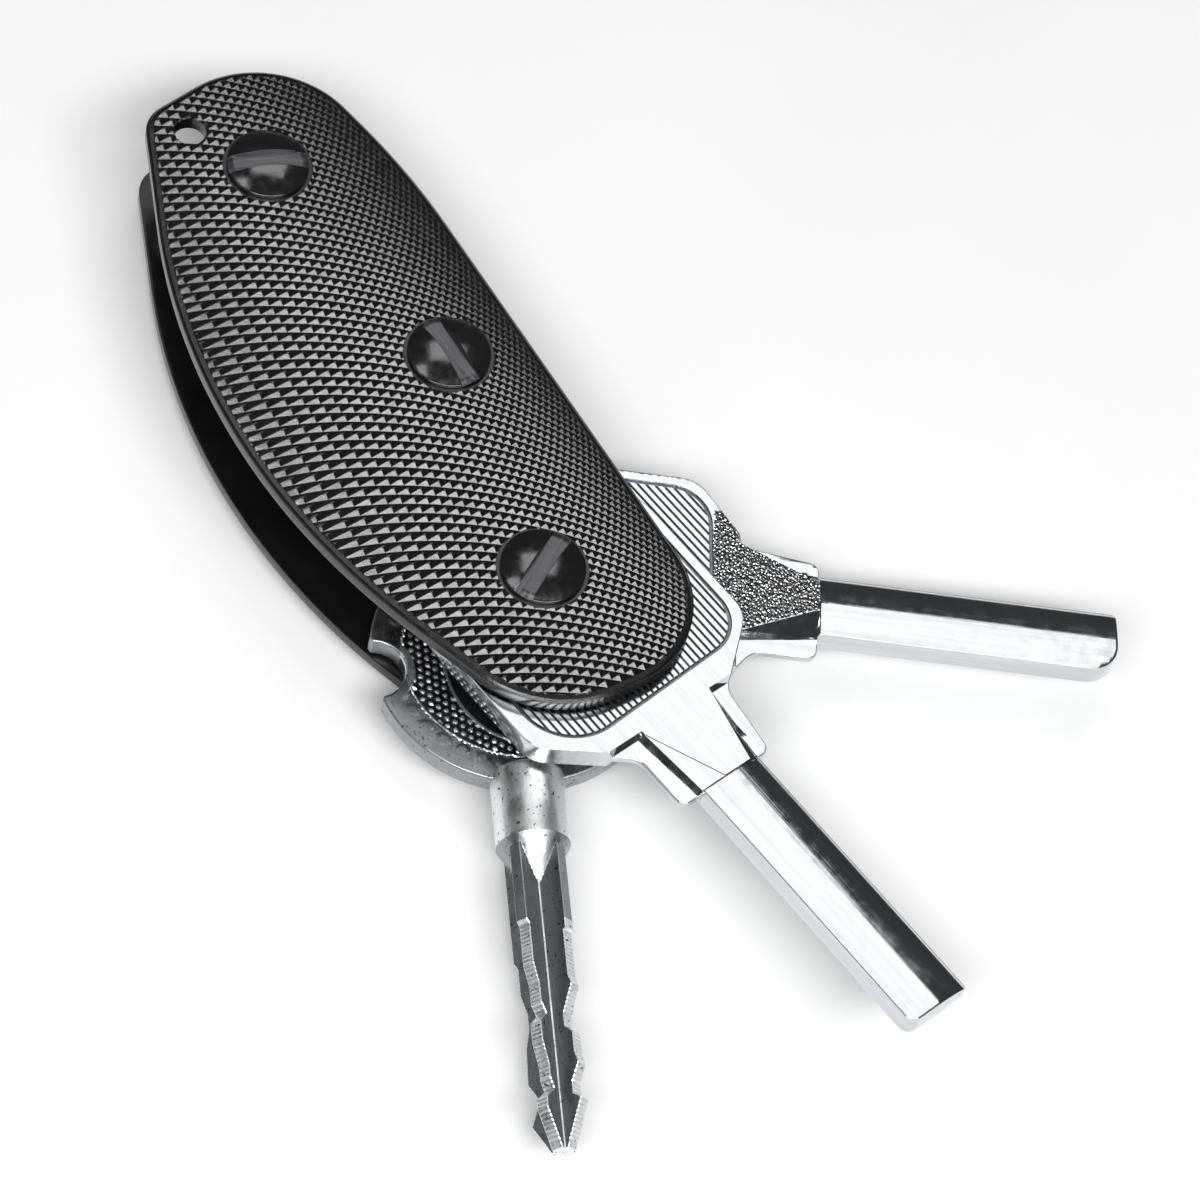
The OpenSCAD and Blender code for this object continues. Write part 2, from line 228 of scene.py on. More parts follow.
def crease(points, tris, field, snap=0.004):
    """Adds an edge line where field = 0. Each triangle that the line crosses is cut in two or
    three, at points found along its sides by repeated halving."""
    d = field(points[:, 0], points[:, 1])
    d[np.abs(d) < snap] = 0
    side = np.sort(np.concatenate([tris[:, [0, 1]], tris[:, [1, 2]], tris[:, [2, 0]]]), 1)
    crossed = d[side[:, 0]] * d[side[:, 1]] < 0
    if not crossed.any():
        return points, tris
    total = len(points)
    code = side[:, 0].astype(np.int64) * total + side[:, 1]
    wanted, first = np.unique(code[crossed], return_index=True)
    ends = side[crossed][first]
    low, high = points[ends[:, 0]].copy(), points[ends[:, 1]].copy()
    sign = np.sign(d[ends[:, 0]])
    for _ in range(12):
        mid = (low + high) / 2
        same = np.sign(field(mid[:, 0], mid[:, 1])) == sign
        low[same], high[~same] = mid[same], mid[~same]
    fresh = (low + high) / 2
    where = np.full(len(code), -1, np.int64)
    where[crossed] = total + np.searchsorted(wanted, code[crossed])
    m = where.reshape(3, -1).T
    hits = (m >= 0).sum(1)
    keep = [tris[hits == 0]]
    t, e = tris[hits == 1], m[hits == 1]
    k = np.argmax(e >= 0, 1)
    r = np.arange(len(t))
    p, q, o, n = t[r, k], t[r, (k + 1) % 3], t[r, (k + 2) % 3], e[r, k]
    keep += [np.stack([p, n, o], 1), np.stack([n, q, o], 1)]
    t, e = tris[hits == 2], m[hits == 2]
    k = np.argmin(e >= 0, 1)
    r = np.arange(len(t))
    p, q, o = t[r, k], t[r, (k + 1) % 3], t[r, (k + 2) % 3]
    n1, n2 = e[r, (k + 1) % 3], e[r, (k + 2) % 3]
    keep += [np.stack([o, n2, n1], 1), np.stack([n2, p, q], 1), np.stack([n2, q, n1], 1)]
    return np.concatenate([points, fresh]), np.concatenate(keep)


def trim(points, tris, field):
    """Cuts the sheet along field = 0 and keeps the part where the field is negative."""
    points, tris = crease(points, tris, field)
    mid = points[tris].mean(1)
    tris = tris[field(mid[:, 0], mid[:, 1]) < 0]
    used, inverse = np.unique(tris, return_inverse=True)
    return points[used], inverse.reshape(-1, 3)


def slab(points, tris, field, top, bottom, edge, steps=4):
    """Closed body between two height functions. The sheet is trimmed at `edge` inside the
    outline where field = 0; quarter circles of that radius then carry both faces out to the
    outline, and a straight wall joins them. Returns vertices, triangles and quads."""
    inner = lambda x, y: field(x, y) + edge
    points, tris = trim(points, tris, inner)
    n = len(points)
    x, y = points.T
    zt, zb = top(x, y), bottom(x, y)
    step = 1e-3
    sides = np.concatenate([tris[:, [0, 1]], tris[:, [1, 2]], tris[:, [2, 0]]]).astype(np.int64)
    codes = sides[:, 0] * n + sides[:, 1]
    back = sides[:, 1] * n + sides[:, 0]
    rim = sides[~np.isin(codes, back)]
    ids = np.unique(rim)
    bx, by = x[ids], y[ids]
    gx = field(bx + step, by) - field(bx - step, by)
    gy = field(bx, by + step) - field(bx, by - step)
    size = np.maximum(np.hypot(gx, gy), 1e-9)
    gx, gy = gx / size, gy / size
    angles = np.linspace(0, math.pi / 2, steps + 1)[1:]
    half = np.minimum(edge, (zt[ids] - zb[ids]) * 0.45)
    rings = [(edge * math.sin(a), zt[ids] - half * (1 - math.cos(a))) for a in angles]
    rings += [(edge * math.sin(a), zb[ids] + half * (1 - math.cos(a))) for a in angles[::-1]]
    verts = [np.stack([x, y, zt], 1), np.stack([x, y, zb], 1)]
    verts += [np.stack([bx + gx * o, by + gy * o, z], 1) for o, z in rings]
    place = np.full(n, -1, np.int64)
    place[ids] = np.arange(len(ids))
    p, q = rim[:, 0], rim[:, 1]
    levels = [(p, q)]
    levels += [(2 * n + k * len(ids) + place[p], 2 * n + k * len(ids) + place[q])
               for k in range(len(rings))]
    levels.append((p + n, q + n))
    quads = [np.stack([b0, a0, a1, b1], 1) for (a0, b0), (a1, b1) in zip(levels, levels[1:])]
    faces = np.concatenate([tris, tris[:, ::-1] + n])
    return np.concatenate(verts), faces, np.concatenate(quads)


def turned(profile, segments=96):
    """Closed ring: the closed profile of (radius, height) points, counter-clockwise with the
    radius to the right, turned once about the Z axis."""
    profile = np.array(profile, float)
    a = np.arange(segments) * 2 * math.pi / segments
    r, z = profile.T
    verts = np.stack([np.outer(np.cos(a), r), np.outer(np.sin(a), r),
                      np.broadcast_to(z, (segments, len(z)))], 2).reshape(-1, 3)
    i = np.arange(segments)[:, None] * len(r)
    j = (np.arange(segments)[:, None] + 1) % segments * len(r)
    k = np.arange(len(r))[None]
    m = (k + 1) % len(r)
    quads = np.stack([i + k, j + k, j + m, i + m], 2).reshape(-1, 4)
    return verts, np.zeros((0, 3), int), quads


def joined(*bodies):
    """Several closed bodies as one list of vertices, triangles and quads."""
    verts, tris, quads, start = [], [], [], 0
    for v, t, q in bodies:
        verts.append(v)
        tris.append(t + start)
        quads.append(q + start)
        start += len(v)
    return np.concatenate(verts), np.concatenate(tris), np.concatenate(quads)


def placed(body, origin, angle=0.0):
    """A body turned about +Z by an angle in degrees, then moved by origin, in millimetres."""
    v, t, q = body
    a = math.radians(angle)
    turn = np.array([[math.cos(a), math.sin(a), 0], [-math.sin(a), math.cos(a), 0], [0, 0, 1]])
    return v @ turn + np.array(origin, float), t, q


def mirrored(body):
    """A body mirrored through z = 0, with its faces still outwards."""
    v, t, q = body
    return v * np.array([1, 1, -1]), t[:, ::-1], q[:, ::-1]


def make_piece(name, body, material, rides, slot, replaces, sharp=30, finish=None):
    """Mesh object at the origin from vertices in millimetres, with its finish per face."""
    v, t, q = body
    mesh = bpy.data.meshes.new(name)
    mesh.vertices.add(len(v))
    mesh.vertices.foreach_set("co", (v * MM).astype(np.float32).ravel())
    loops = np.concatenate([t.ravel(), q.ravel()]).astype(np.int32)
    mesh.loops.add(len(loops))
    mesh.loops.foreach_set("vertex_index", loops)
    starts = np.concatenate([np.arange(len(t)) * 3, len(t) * 3 + np.arange(len(q)) * 4])
    mesh.polygons.add(len(starts))
    mesh.polygons.foreach_set("loop_start", starts.astype(np.int32))
    mesh.update(calc_edges=True)
    mesh.validate()
    mesh.shade_smooth()
    mesh.set_sharp_from_angle(angle=math.radians(sharp))
    materials = material if isinstance(material, list) else [material]
    for m in materials:
        mesh.materials.append(m)
    if finish is not None:
        centre = np.empty(len(mesh.polygons) * 3, np.float32)
        mesh.polygons.foreach_get("center", centre)
        mesh.polygons.foreach_set("material_index", finish(centre.reshape(-1, 3) / MM))
        mesh.update()
    piece = bpy.data.objects.new(name, mesh)
    bpy.context.scene.collection.objects.link(piece)
    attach(piece, rides)
    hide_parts(*replaces)
    return piece


# ---------------------------------------------------------------- materials

def linear(colour):
    """An sRGB hex colour as linear red, green, blue and alpha."""
    parts = [int(colour[i:i + 2], 16) / 255 for i in (1, 3, 5)]
    return [c / 12.92 if c <= 0.04045 else ((c + 0.055) / 1.055) ** 2.4 for c in parts] + [1.0]


def add(tree, kind, inputs=None, **settings):
    """Adds a node, sets its properties, and fills its inputs with values or links."""
    made = tree.nodes.new(kind)
    for name, value in settings.items():
        setattr(made, name, value)
    for name, value in (inputs or {}).items():
        if isinstance(value, bpy.types.NodeSocket):
            tree.links.new(value, made.inputs[name])
        else:
            made.inputs[name].default_value = value
    return made


def start_material(name):
    """A new material's tree with its Principled shader, and Object coordinates."""
    made = bpy.data.materials.new(name)
    made.use_nodes = True
    tree = made.node_tree
    tree.nodes.clear()
    shader = add(tree, "ShaderNodeBsdfPrincipled")
    add(tree, "ShaderNodeOutputMaterial", {"Surface": shader.outputs["BSDF"]})
    where = add(tree, "ShaderNodeTexCoord")
    return made, tree, shader, where.outputs["Object"]


def grain(tree, where, size_mm, detail=2.0, stretch=(1, 1, 1), angle=0.0):
    """Noise whose lumps are about size_mm across, stretched along a turned direction."""
    turn = add(tree, "ShaderNodeMapping",
               {"Vector": where, "Rotation": (0, 0, -math.radians(angle))})
    pull = add(tree, "ShaderNodeMapping", {"Vector": turn.outputs[0], "Scale": stretch})
    noise = add(tree, "ShaderNodeTexNoise",
                {"Vector": pull.outputs[0], "Scale": 1 / (size_mm * MM), "Detail": detail})
    return noise.outputs["Fac"]


def ranged(tree, value, low, high, to_low, to_high):
    """A value carried from one range to another."""
    made = add(tree, "ShaderNodeMapRange",
               {"Value": value, "From Min": low, "From Max": high,
                "To Min": to_low, "To Max": to_high})
    return made.outputs["Result"]


def blend_colours(tree, fac, low, high):
    """A colour between two hex colours."""
    ramp = add(tree, "ShaderNodeValToRGB", {"Fac": fac})
    ramp.color_ramp.elements[0].color = linear(low)
    ramp.color_ramp.elements[1].color = linear(high)
    return ramp.outputs["Color"]


def bumped(tree, height, depth_mm, strength=1.0, onto=None):
    """Normal of a surface raised by height times depth_mm."""
    inputs = {"Height": height, "Distance": depth_mm * MM, "Strength": strength}
    if onto is not None:
        inputs["Normal"] = onto
    return add(tree, "ShaderNodeBump", inputs).outputs["Normal"]


def anodised_aluminium(colour):
    """Black anodised aluminium, machined and etched before the dye."""
    made, tree, shader, where = start_material("Black anodised aluminium")
    # The dyed oxide is a hard clear layer: crisp small glints on near-black, dulled in patches
    patches = grain(tree, where, 6.0)
    pores = grain(tree, where, 0.12, 4.0)
    tree.links.new(blend_colours(tree, patches, colour, "#1A1A1B"), shader.inputs["Base Color"])
    rough = ranged(tree, grain(tree, where, 1.5, 3.0), 0.3, 0.7, 0.15, 0.26)
    tree.links.new(rough, shader.inputs["Roughness"])
    tree.links.new(bumped(tree, pores, 0.012), shader.inputs["Normal"])
    shader.inputs["IOR"].default_value = 1.58
    return made


def black_oxide_steel():
    """Steel turned, polished and blackened by hot oxide, with the slot left as sawn."""
    made, tree, shader, where = start_material("Black oxide steel")
    # A thin oiled oxide: wet-looking soft highlights, faint turning marks
    tree.links.new(blend_colours(tree, grain(tree, where, 2.0), "#08080A", "#141416"),
                   shader.inputs["Base Color"])
    tree.links.new(ranged(tree, grain(tree, where, 0.8, 3.0), 0.3, 0.7, 0.12, 0.24),
                   shader.inputs["Roughness"])
    tree.links.new(bumped(tree, grain(tree, where, 0.5, 3.0), 0.006), shader.inputs["Normal"])
    shader.inputs["IOR"].default_value = 2.2
    return made


def sawn_black_steel(angle):
    """Bottom of a slot: black steel with the saw's marks along it, and painted highlights along
    the marks.
    """
    made, tree, shader, where = start_material(f"Sawn black steel {angle:g}")
    # Long scratches along the slot: their relief is bump, and their pale streaks in the colour are
    # painted highlights
    marks = grain(tree, where, 0.35, 3.0, (0.08, 1, 1), angle)
    tree.links.new(blend_colours(tree, marks, "#101012", "#8C8C90"), shader.inputs["Base Color"])
    tree.links.new(ranged(tree, marks, 0.3, 0.7, 0.25, 0.5), shader.inputs["Roughness"])
    tree.links.new(bumped(tree, marks, 0.05), shader.inputs["Normal"])
    shader.inputs["Metallic"].default_value = 0.8
    return made


def polished_nickel(angle, colour):
    """Bright nickel plating over brass, brushed along the shaft before plating."""
    made, tree, shader, where = start_material(f"Polished nickel {angle:g}")
    # Mirror with fine lengthwise brush lines and slight waves
    lines = grain(tree, where, 0.5, 4.0, (0.03, 1, 1), angle)
    waves = grain(tree, where, 3.0, 3.0)
    tree.links.new(blend_colours(tree, lines, "#B9BCC0", colour), shader.inputs["Base Color"])
    tree.links.new(ranged(tree, grain(tree, where, 1.2, 4.0), 0.35, 0.7, 0.07, 0.18),
                   shader.inputs["Roughness"])
    soft = bumped(tree, waves, 0.006)
    tree.links.new(bumped(tree, lines, 0.012, 1.0, soft), shader.inputs["Normal"])
    shader.inputs["Metallic"].default_value = 1.0
    return made


def blasted_nickel():
    """Nickel plating over a neck that was struck rough in its die."""
    made, tree, shader, where = start_material("Blasted nickel with painted sparkle")
    # Coarse pits that sparkle, 0.2 to 0.3 mm across: a little coarser than real so they show; the
    # sparkle is partly the pits' bump and partly painted highlight and shade in the colour
    pits = add(tree, "ShaderNodeTexVoronoi", {"Vector": where, "Scale": 1 / (0.3 * MM)})
    fine = grain(tree, where, 0.22, 3.0)
    # Painted sparkle: dark and near-white speckle in the colour stands in for glints and shade on
    # the pits
    painted_sparkle = ranged(tree, fine, 0.35, 0.65, 0.0, 1.0)
    tree.links.new(blend_colours(tree, painted_sparkle, "#4A4C50", "#F2F3F4"),
                   shader.inputs["Base Color"])
    soft = bumped(tree, fine, 0.05)
    tree.links.new(bumped(tree, pits.outputs["Distance"], 0.2, 1.0, soft), shader.inputs["Normal"])
    shader.inputs["Metallic"].default_value = 1.0
    shader.inputs["Roughness"].default_value = 0.24
    return made


def cast_nickel(name, colour):
    """Nickel plating over a cast or milled blank, whose pores show through."""
    made, tree, shader, where = start_material(name)
    # Greyer and duller than the flat keys, peppered with dark pores
    pores = grain(tree, where, 0.35, 4.0)
    skin = grain(tree, where, 1.6, 3.0)
    spots = ranged(tree, pores, 0.30, 0.38, 0.0, 1.0)
    tree.links.new(blend_colours(tree, spots, "#35363A", colour), shader.inputs["Base Color"])
    tree.links.new(ranged(tree, skin, 0.3, 0.7, 0.28, 0.46), shader.inputs["Roughness"])
    fine = bumped(tree, grain(tree, where, 0.14, 2.0), 0.02)
    soft = bumped(tree, skin, 0.02, 1.0, fine)
    tree.links.new(bumped(tree, pores, 0.025, 1.0, soft), shader.inputs["Normal"])
    shader.inputs["Metallic"].default_value = 1.0
    return made


def satin_steel():
    """Stamped stainless washers, tumbled."""
    made, tree, shader, where = start_material("Satin steel")
    # Even dull shine with faint cloudy patches
    tree.links.new(blend_colours(tree, grain(tree, where, 1.0, 3.0), "#8A8D91", "#A9ACB0"),
                   shader.inputs["Base Color"])
    tree.links.new(bumped(tree, grain(tree, where, 0.3, 3.0), 0.008), shader.inputs["Normal"])
    shader.inputs["Metallic"].default_value = 1.0
    shader.inputs["Roughness"].default_value = 0.36
    return made


def moulded_nylon():
    """Moulded black nylon spacers."""
    made, tree, shader, where = start_material("Moulded black nylon")
    # Soft waxy black with a fine spark-eroded skin
    tree.links.new(blend_colours(tree, grain(tree, where, 1.4), "#17181A", "#232427"),
                   shader.inputs["Base Color"])
    tree.links.new(bumped(tree, grain(tree, where, 0.2, 3.0), 0.02), shader.inputs["Normal"])
    shader.inputs["Roughness"].default_value = 0.5
    shader.inputs["IOR"].default_value = 1.53
    return made


def studio_paper(colour):
    """Seamless pale paper."""
    made, tree, shader, where = start_material("Studio paper")
    # Matt and even, with the faintest mottling
    tree.links.new(blend_colours(tree, grain(tree, where, 40.0), colour, "#FFFFFF"),
                   shader.inputs["Base Color"])
    shader.inputs["Roughness"].default_value = 0.9
    return made


# ---------------------------------------------------------------- settings

class PlateSettings(bpy.types.PropertyGroup):
    step: bpy.props.FloatProperty(
        name="Knurl step", description="Distance between grooves along the plates, in millimetres",
        default=1.2, min=0.6, max=2.4)
    sweep: bpy.props.FloatProperty(
        name="Groove radius", description="Radius of the curved grooves, in millimetres",
        default=44.4, min=42, max=80)
    centre: bpy.props.FloatProperty(
        name="Groove centre",
        description="Where the grooves' centres lie beside the pivot, in millimetres",
        default=-27.4, min=-31, max=-20)
    depth: bpy.props.FloatProperty(
        name="Groove depth", description="Depth of the grooves, in millimetres",
        default=0.3, min=0.1, max=0.4)
    half_width: bpy.props.FloatProperty(
        name="Groove half width", description="Half of the grooves' width, in millimetres",
        default=0.42, min=0.1, max=0.6)
    colour: bpy.props.StringProperty(
        name="Colour", description="Colour of the dyed oxide, as sRGB hex", default="#0C0C0D")


class HeadSettings(bpy.types.PropertyGroup):
    slot_width: bpy.props.FloatProperty(
        name="Slot width", description="Width of the slots, in millimetres",
        default=1.9, min=1, max=2.4)
    slot_depth: bpy.props.FloatProperty(
        name="Slot depth", description="Depth of the slots, in millimetres",
        default=0.8, min=0.4, max=1.2)
    front_angles: bpy.props.FloatVectorProperty(
        name="Front slots",
        description="Directions of the front slots at the three posts, in degrees",
        size=3, default=(30, 90, -20))
    rear_angles: bpy.props.FloatVectorProperty(
        name="Rear slots",
        description="Directions of the rear slots at the three posts, in degrees",
        size=3, default=(-35, 12, 64))


class KeySettings(bpy.types.PropertyGroup):
    rib_pitch: bpy.props.FloatProperty(
        name="Rib pitch", description="Distance between the bows' ribs, in millimetres",
        default=0.7, min=0.5, max=1.5)
    rib_groove: bpy.props.FloatProperty(
        name="Rib groove", description="Half width of the grooves between ribs, in millimetres",
        default=0.14, min=0.05, max=0.3)
    bright: bpy.props.StringProperty(
        name="Bright plating", description="Colour of the polished plating, as sRGB hex",
        default="#E4E6E8")
    dull: bpy.props.StringProperty(
        name="Dull plating", description="Colour of the cross key's plating, as sRGB hex",
        default="#9FA0A3")


class StageSettings(bpy.types.PropertyGroup):
    paper: bpy.props.StringProperty(
        name="Paper", description="Colour of the floor, as sRGB hex", default="#F7F7F7")
    key_light: bpy.props.FloatProperty(
        name="Key light", description="Power of the key light, in watts",
        default=11.0, min=0, unit="POWER")
    lens: bpy.props.FloatProperty(
        name="Lens", description="Focal length of the camera, in millimetres",
        default=130.47, min=20, max=400)


# ---------------------------------------------------------------- plates

def knurl_sheet(s):
    """Grid along the two families of grooves. Groove lines are arcs of one radius R whose
    centres step along the plate: y = (u + v) a / 2 and x = centre + sqrt(R^2 - H^2) with
    H = (v - u) a / 2, so u and v are whole numbers on the grooves. Each unit has lines at
    its grooves and at both shoulders of each groove."""
    k = np.arange(U_SPAN[0], V_SPAN[1])
    line = np.sort(np.concatenate([k, k + SHOULDER, k + 1 - SHOULDER])).astype(float)
    u, v = [line[(line > low) & (line < high)] for low, high in (U_SPAN, V_SPAN)]
    uu, vv = np.meshgrid(u, v)
    h = (vv - uu) * s.step / 2
    safe = np.clip(h, H_CLIP, s.sweep - 0.02)
    x = s.centre + np.sqrt(s.sweep ** 2 - safe ** 2)
    y = (uu + vv) * s.step / 2
    fu, fv = u % 1, v % 1
    # Where walls of both families meet, the cell's diagonal follows the corner between them
    low_u, low_v = [((f < 0.49) | (f > 0.999))[:-1] & ((f[1:] > 0) & (f[1:] < 0.51))
                    for f in (fu, fv)]
    flip = low_v[:, None] != low_u[None]
    points, tris = grid_sheet(x, y, flip)
    hh = h.ravel()
    past = np.abs(hh[tris] - np.clip(hh[tris], H_KEPT, s.sweep - 0.05)).max(1)
    cells = points[tris]
    near = (cells.min(1) < SHEET_HIGH).all(1) & (cells.max(1) > SHEET_LOW).all(1)
    tris = tris[(past == 0) & near]
    used, inverse = np.unique(tris, return_inverse=True)
    return points[used], inverse.reshape(-1, 3)


def knurl_height(s, x, y):
    """Depth below the plate's face: each groove is a V whose wall rises with the distance to
    its arc, up to the flat top; the deeper of the two families counts."""
    h = np.sqrt(np.maximum(s.sweep ** 2 - (x - s.centre) ** 2, 0))
    rise = np.ones(len(x))
    for family in ((y - h) / s.step, (y + h) / s.step):
        away = np.abs(family - np.round(family)) * s.step * h / s.sweep
        wall = np.clip(away / s.half_width, 0, 1)
        rise = np.minimum(rise, wall)
    return -s.depth * (1 - rise)


def plate_body(s):
    """Front plate from the pivot, with its inner face at the gap and knurled outer face. The
    knurl stops at a smooth rim that falls to the edge, and at the spot faces of the heads."""
    outline = distance_to(rounded(PLATE_CORNERS))
    posts = [circle(p[0], p[1], BARREL_R + 0.1) for p in POSTS]
    spots = [circle(p[0], p[1], SPOT_R) for p in POSTS]
    ring = circle(RING_HOLE[0], RING_HOLE[1], RING_HOLE_R)
    ring_rim = circle(RING_HOLE[0], RING_HOLE[1], RING_RIM_R)
    field = inside_all(outline, outside(ring), *[outside(p) for p in posts])
    points, tris = knurl_sheet(s)
    points, tris = trim(points, tris, lambda x, y: outline(x, y) - 0.3)
    for line in (*[lambda x, y, inset=inset: outline(x, y) + inset for inset in RIM_CREASES],
                 ring_rim, *spots, *[circle(p[0], p[1], SPOT_R + 0.06) for p in POSTS]):
        points, tris = crease(points, tris, line)

    def top(x, y):
        d = outline(x, y)
        z = knurl_height(s, x, y)
        z = np.where(d > RIM_AT[0] - 0.04, np.interp(d, RIM_AT, RIM_Z), z)
        near = np.min([p(x, y) for p in spots], axis=0)
        z = np.where(near < 0.03, SPOT_Z, z)
        z = np.where(ring_rim(x, y) < 0.001, np.minimum(z, RING_Z), z)
        return PLATE_OUT + z

    return slab(points, tris, field, top, lambda x, y: np.full(len(x), PLATE_IN), 0.12)


class OBJECT_OT_plates(bpy.types.Operator):
    """Builds the two knurled plates in place of the plain ones"""
    bl_idname = "object.organiser_plates"
    bl_label = "Knurled plates"

    def execute(self, context):
        s = context.scene.organiser_plates
        body = plate_body(s)
        finish = anodised_aluminium(s.colour)
        front = placed(body, (*PIVOT, 0))
        for side, body in (("front", front), ("rear", mirrored(front))):
            make_piece(f"{side}_plate_knurled", body, finish, "case", "anodised_plate",
                       [f"{side}_plate"], 12)
        return {"FINISHED"}


# ---------------------------------------------------------------- posts

def lines(*spans):
    """Sorted grid lines from (start, end, step) spans and single values."""
    parts = [np.atleast_1d(p) if np.isscalar(p)
             else np.linspace(p[0], p[1], int(round((p[1] - p[0]) / p[2])) + 1) for p in spans]
    merged = np.sort(np.concatenate(parts))
    return merged[np.concatenate([[True], np.diff(merged) > 0.012])]


def head_body(s):
    """Low domed head on z = 0: dome height over a sphere's cap, a straight edge with a small
    round, and a slot along x with softly broken edges."""
    tall = HEAD_TOP - SEAT
    dome = tall - 0.45
    ball = (HEAD_R ** 2 + dome ** 2) / (2 * dome)
    half = s.slot_width / 2
    x = lines((-HEAD_R - 0.1, HEAD_R + 0.1, 0.18))
    y = lines((-HEAD_R - 0.1, -half - 0.1, 0.18), -half - 0.06, -half - 0.02, -half + 0.02,
              (-half + 0.1, half - 0.1, 0.2), half - 0.02, half + 0.02, half + 0.06,
              (half + 0.1, HEAD_R + 0.1, 0.18))
    points, tris = grid_sheet(*np.meshgrid(x, y))

    def top(x, y):
        r2 = np.minimum(x ** 2 + y ** 2, HEAD_R ** 2)
        z = tall - ball + np.sqrt(ball ** 2 - r2)
        z = z - 0.03 * np.interp(np.abs(y), [half, half + 0.06], [1, 0])
        floor = tall - s.slot_depth
        return np.where(np.abs(y) < half, np.minimum(floor, z), z)

    field = circle(0, 0, HEAD_R)
    return slab(points, tris, field, top, lambda x, y: np.zeros(len(x)), 0.09)


def tube(inner, outer, low, high, chamfer=0.1):
    """Closed ring between two radii and two heights, with its corners broken."""
    c = chamfer
    if inner <= 0:
        inner, c_in = 0.02, 0.0
    else:
        c_in = min(c, (high - low) / 3)
    c = min(c, (high - low) / 3)
    return turned([(inner + c_in, low), (outer - c, low), (outer, low + c), (outer, high - c),
                   (outer - c, high), (inner + c_in, high), (inner, high - c_in),
                   (inner, low + c_in)])


class OBJECT_OT_posts(bpy.types.Operator):
    """Builds the slotted screws and barrels of the three posts"""
    bl_idname = "object.organiser_posts"
    bl_label = "Slotted posts"

    def execute(self, context):
        s = context.scene.organiser_heads
        head = head_body(s)
        black = black_oxide_steel()
        half = s.slot_width / 2
        floor = HEAD_TOP - s.slot_depth + 0.02
        for i, name in enumerate(("pivot", "middle", "top")):
            at = PIVOT + POSTS[i]
            for side, angle in ((1, s.front_angles[i]), (-1, s.rear_angles[i])):
                body = placed(head, (*at, SEAT), angle)
                if side < 0:
                    body = mirrored(body)
                    core = tube(BORE_R, BARREL_R, -SEAT - 0.01, PLATE_OUT - 0.6)
                    node, kind = f"{name}_barrel", "barrel_slotted"
                else:
                    core = tube(0, SHANK_R, PLATE_OUT - SHANK_LONG, SEAT + 0.01)
                    node, kind = f"{name}_screw", "screw_slotted"
                across_slot = np.array([-math.sin(math.radians(angle)),
                                        math.cos(math.radians(angle))])

                def finish(c, at=at, across_slot=across_slot, side=side):
                    across = np.abs((c[:, :2] - at) @ across_slot)
                    deep = (side * c[:, 2] < floor) & (side * c[:, 2] > SEAT + 0.3)
                    return ((across < half - 0.01) & deep).astype(np.int32)

                make_piece(f"{name}_{kind}", joined(body, placed(core, (*at, 0))),
                           [black, sawn_black_steel(angle)], "case", "black_screw", [node], 25,
                           finish)
        return {"FINISHED"}


class OBJECT_OT_rings(bpy.types.Operator):
    """Builds the washers at the pivot and the spacers at the other posts"""
    bl_idname = "object.organiser_rings"
    bl_label = "Washers and spacers"

    def execute(self, context):
        steel, nylon = satin_steel(), moulded_nylon()
        names = [(f"pivot_washer_{i}", steel, "steel_washer") for i in range(1, 5)]
        names += [(f"{p}_spacer_{i}", nylon, "black_spacer")
                  for p in ("middle", "top") for i in range(1, 4)]
        for node, material, slot in names:
            at = middle_of(node)
            low, high = span_of(node, 2)
            outer = (span_of(node, 0)[1] - span_of(node, 0)[0]) / 2
            ring = tube(BARREL_R + 0.1, outer, low, high, 0.15)
            make_piece(node + "_finished", placed(ring, (at[0], at[1], 0)), material, "case",
                       slot, [node], 40)
        return {"FINISHED"}


# ---------------------------------------------------------------- flat keys

def shaft_height(y):
    """Height of the shaft's upper face above its middle: a flat facet, then half an ellipse
    that starts with a small fold and ends at the round side."""
    t = np.clip((y + 0.1) / (SHAFT_HALF + 0.1), 0, 1)
    return KEY_T / 2 * (np.sqrt(1 - t ** 2) - 0.22 * t * (1 - t))


